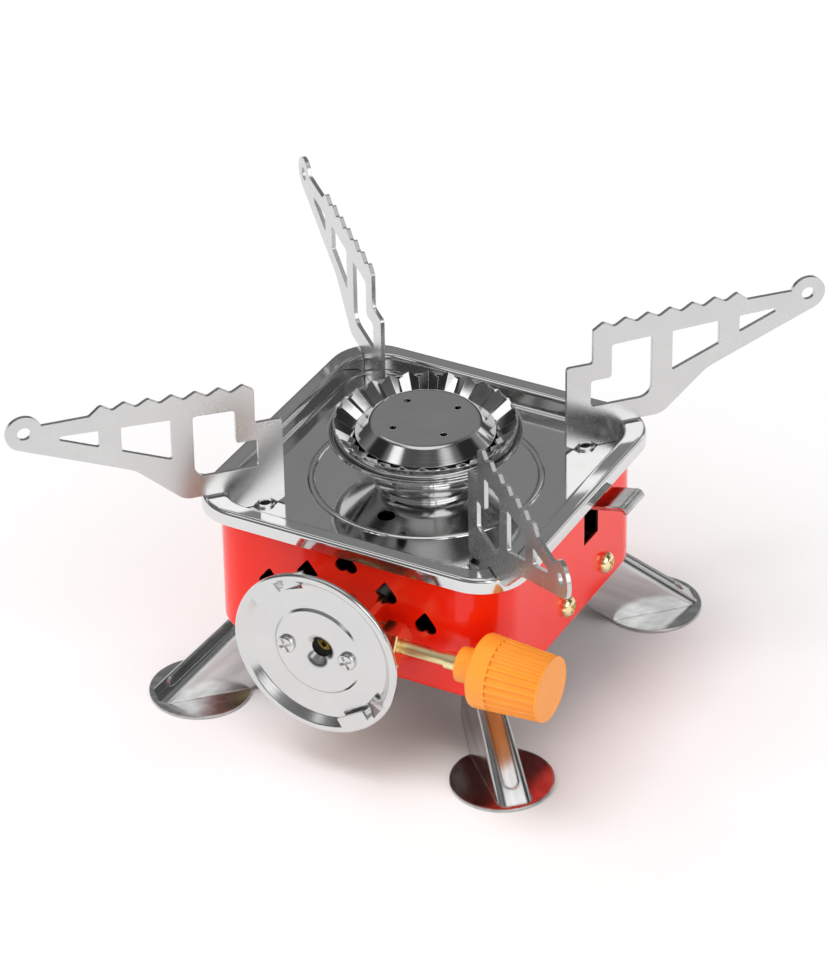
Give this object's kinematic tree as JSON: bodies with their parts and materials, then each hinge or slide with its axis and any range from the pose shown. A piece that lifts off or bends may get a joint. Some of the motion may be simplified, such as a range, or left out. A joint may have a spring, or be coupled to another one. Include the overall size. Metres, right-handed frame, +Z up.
{
  "type": "folding gas stove",
  "caption": "Folding square gas stove on swivelling legs, with serrated swing-out pan supports, pleated burner, bayonet cartridge connector, needle valve and push-lever igniter.",
  "frame": {"origin": "on the ground, under the burner's axis", "axes": "+Z up along the burner's axis, -Y towards the cartridge connector, +X towards the igniter lever"},
  "size_m": [0.146, 0.146, 0.0862],
  "materials": {
    "enamel": "gloss red enamel",
    "polished_steel": "polished stainless sheet",
    "burner_steel": "polished pressed steel",
    "dish_steel": "bright plated steel",
    "zinc_steel": "zinc plated",
    "brass": "bright turned brass",
    "orange_plastic": "satin moulded orange",
    "black_plastic": "moulded black",
    "seal_rubber": "matt black",
    "lead_rubber": "white silicone sleeve",
    "ceramic": "glazed white ceramic"
  },
  "bodies": {
    "stove": {"casing": "enamel", "top_tray": "polished_steel", "burner_base": "burner_steel", "burner_cup": "burner_steel", "flame_ring": "burner_steel", "burner_cap": "burner_steel", "mixing_tube": "zinc_steel", "burner_nut": "zinc_steel", "support_eyelets": "polished_steel", "leg_rivets": "zinc_steel", "connector_dish": "dish_steel", "dish_screws": "zinc_steel", "valve_body": "brass", "inlet_seal": "seal_rubber", "gland_nut": "brass", "valve_nut": "zinc_steel", "gas_jet": "brass", "igniter_bracket": "zinc_steel", "lever_pin": "zinc_steel", "bracket_screws": "brass", "piezo_body": "black_plastic", "ignition_lead": "lead_rubber", "electrode_insulator": "ceramic", "electrode": "zinc_steel"},
    "knob": {"valve_spindle": "brass", "control_knob": "orange_plastic"},
    "lever": {"igniter_lever": "polished_steel"},
    "plunger": {"piezo_plunger": "black_plastic"},
    "support_front_right": {"pan_support_front_right": "polished_steel", "support_clip_front_right": "zinc_steel"},
    "leg_body_front_right": {"leg_front_right": "polished_steel"},
    "support_rear_right": {"pan_support_rear_right": "polished_steel", "support_clip_rear_right": "zinc_steel"},
    "leg_body_rear_right": {"leg_rear_right": "polished_steel"},
    "support_rear_left": {"pan_support_rear_left": "polished_steel", "support_clip_rear_left": "zinc_steel"},
    "leg_body_rear_left": {"leg_rear_left": "polished_steel"},
    "support_front_left": {"pan_support_front_left": "polished_steel", "support_clip_front_left": "zinc_steel"},
    "leg_body_front_left": {"leg_front_left": "polished_steel"}
  },
  "joints": [
    {"name": "support_swivel_front_right", "type": "hinge", "parent": "stove", "child": "support_front_right", "pos_m": [0.0283, -0.0283, 0.0502], "axis": [0, 0, 1], "range_deg": [0, 133.6]},
    {"name": "support_swivel_rear_right", "type": "hinge", "parent": "stove", "child": "support_rear_right", "pos_m": [0.0283, 0.0283, 0.0502], "axis": [0, 0, 1], "range_deg": [0, 133.6]},
    {"name": "support_swivel_rear_left", "type": "hinge", "parent": "stove", "child": "support_rear_left", "pos_m": [-0.0283, 0.0283, 0.0502], "axis": [0, 0, 1], "range_deg": [0, 133.6]},
    {"name": "support_swivel_front_left", "type": "hinge", "parent": "stove", "child": "support_front_left", "pos_m": [-0.0283, -0.0283, 0.0502], "axis": [0, 0, 1], "range_deg": [0, 133.6]},
    {"name": "leg_swivel_front_right", "type": "hinge", "parent": "stove", "child": "leg_body_front_right", "pos_m": [0.0247, -0.0247, 0.0185], "axis": [0, 0, 1], "range_deg": [-135, 0]},
    {"name": "leg_swivel_rear_right", "type": "hinge", "parent": "stove", "child": "leg_body_rear_right", "pos_m": [0.0247, 0.0247, 0.0185], "axis": [0, 0, 1], "range_deg": [-135, 0]},
    {"name": "leg_swivel_rear_left", "type": "hinge", "parent": "stove", "child": "leg_body_rear_left", "pos_m": [-0.0247, 0.0247, 0.0185], "axis": [0, 0, 1], "range_deg": [-135, 0]},
    {"name": "leg_swivel_front_left", "type": "hinge", "parent": "stove", "child": "leg_body_front_left", "pos_m": [-0.0247, -0.0247, 0.0185], "axis": [0, 0, 1], "range_deg": [-135, 0]},
    {"name": "knob_turn", "type": "hinge", "parent": "stove", "child": "knob", "pos_m": [0.0325, -0.0452, 0.0337], "axis": [1, 0, 0], "range_deg": [0, 540]},
    {"name": "lever_press", "type": "hinge", "parent": "stove", "child": "lever", "pos_m": [0.014, 0.01015, 0.0409], "axis": [0, 1, 0], "range_deg": [0, 16], "stiffness_Nm_per_rad": 1, "springref_deg": -8.59},
    {"name": "plunger_slide", "type": "slide", "parent": "stove", "child": "plunger", "axis": [0, 0, -1], "range_m": [0, 0.0035]}
  ],
  "couplings": [
    {"joint": "plunger_slide", "follows": "lever_press", "m_per_rad": 0.012448}
  ]
}
